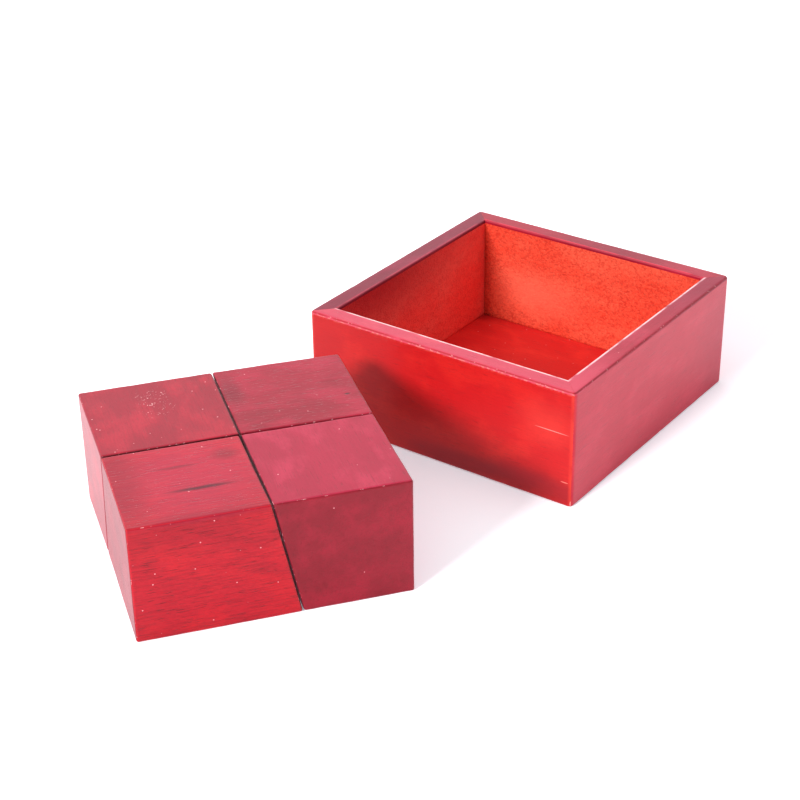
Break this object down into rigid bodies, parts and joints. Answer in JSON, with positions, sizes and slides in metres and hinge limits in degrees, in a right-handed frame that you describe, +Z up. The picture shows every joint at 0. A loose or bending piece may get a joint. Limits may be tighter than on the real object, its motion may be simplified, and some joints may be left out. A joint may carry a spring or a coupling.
{
  "type": "wooden puzzle box",
  "caption": "Square open wooden tray with mitred walls, and loose slanted blocks that stand beside it as a cluster and pack into it.",
  "frame": {"origin": "centre of the tray's underside, on the surface that the tray and the blocks stand on", "axes": "+Z up; the tray's walls face -Y (front), +X (right), +Y (back) and -X (left); the block cluster stands in front, turned 53.1 degrees about Z"},
  "size_m": [0.1264, 0.2268, 0.04],
  "materials": {
    "tray_boards": "red dye stain under satin lacquer",
    "tray_floor": "red dye stain under satin lacquer",
    "blocks": "red dye stain under satin lacquer"
  },
  "bodies": {
    "tray": {"wall_front": "tray_boards", "wall_right": "tray_boards", "wall_back": "tray_boards", "wall_left": "tray_boards", "floor_panel": "tray_floor"},
    "block_front_left": {"block_front_left": "blocks"},
    "block_front_right": {"block_front_right": "blocks"},
    "block_back_right": {"block_back_right": "blocks"},
    "block_back_left": {"block_back_left": "blocks"}
  },
  "joints": [
    {"name": "lift_front_left", "type": "slide", "parent": "tray", "child": "block_front_left", "axis": [0.047, -0.33, 0.9428], "range_m": [0, 0.06]},
    {"name": "lift_front_right", "type": "slide", "parent": "tray", "child": "block_front_right", "axis": [0.33, 0.047, 0.9428], "range_m": [0, 0.06]},
    {"name": "lift_back_right", "type": "slide", "parent": "tray", "child": "block_back_right", "axis": [-0.047, 0.33, 0.9428], "range_m": [0, 0.06]},
    {"name": "lift_back_left", "type": "slide", "parent": "tray", "child": "block_back_left", "axis": [-0.33, -0.047, 0.9428], "range_m": [0, 0.06]}
  ]
}
